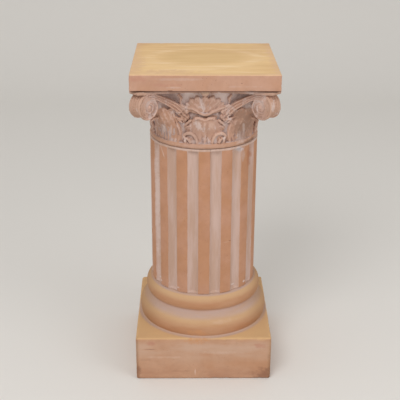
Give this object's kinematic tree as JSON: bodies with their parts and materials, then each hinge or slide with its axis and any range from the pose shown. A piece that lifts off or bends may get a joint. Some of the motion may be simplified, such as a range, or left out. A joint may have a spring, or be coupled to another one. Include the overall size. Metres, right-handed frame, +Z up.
{
  "type": "pedestal column",
  "caption": "Square-based fluted column with round base mouldings, a leafy capital with corner scrolls and a flat top slab, for standing a pot or bust on.",
  "frame": {"origin": "centre of the underside of the plinth", "axes": "+Z up along the column, X and Y square to the sides of the plinth, front facing -Y"},
  "size_m": [0.3156, 0.3156, 0.72],
  "materials": {
    "base": "unglazed terracotta, worn edges and pale limewash left in the hollows",
    "shaft": "unglazed terracotta on the raised strips, thin pale limewash in the flutes",
    "capital": "unglazed terracotta, cast leaves with pale limewash in the recesses",
    "top_slab": "unglazed terracotta, pale top with a darker round stain where a pot stood"
  },
  "bodies": {
    "root": {"base": "base", "shaft": "shaft", "capital": "capital", "top_slab": "top_slab"}
  },
  "joints": []
}
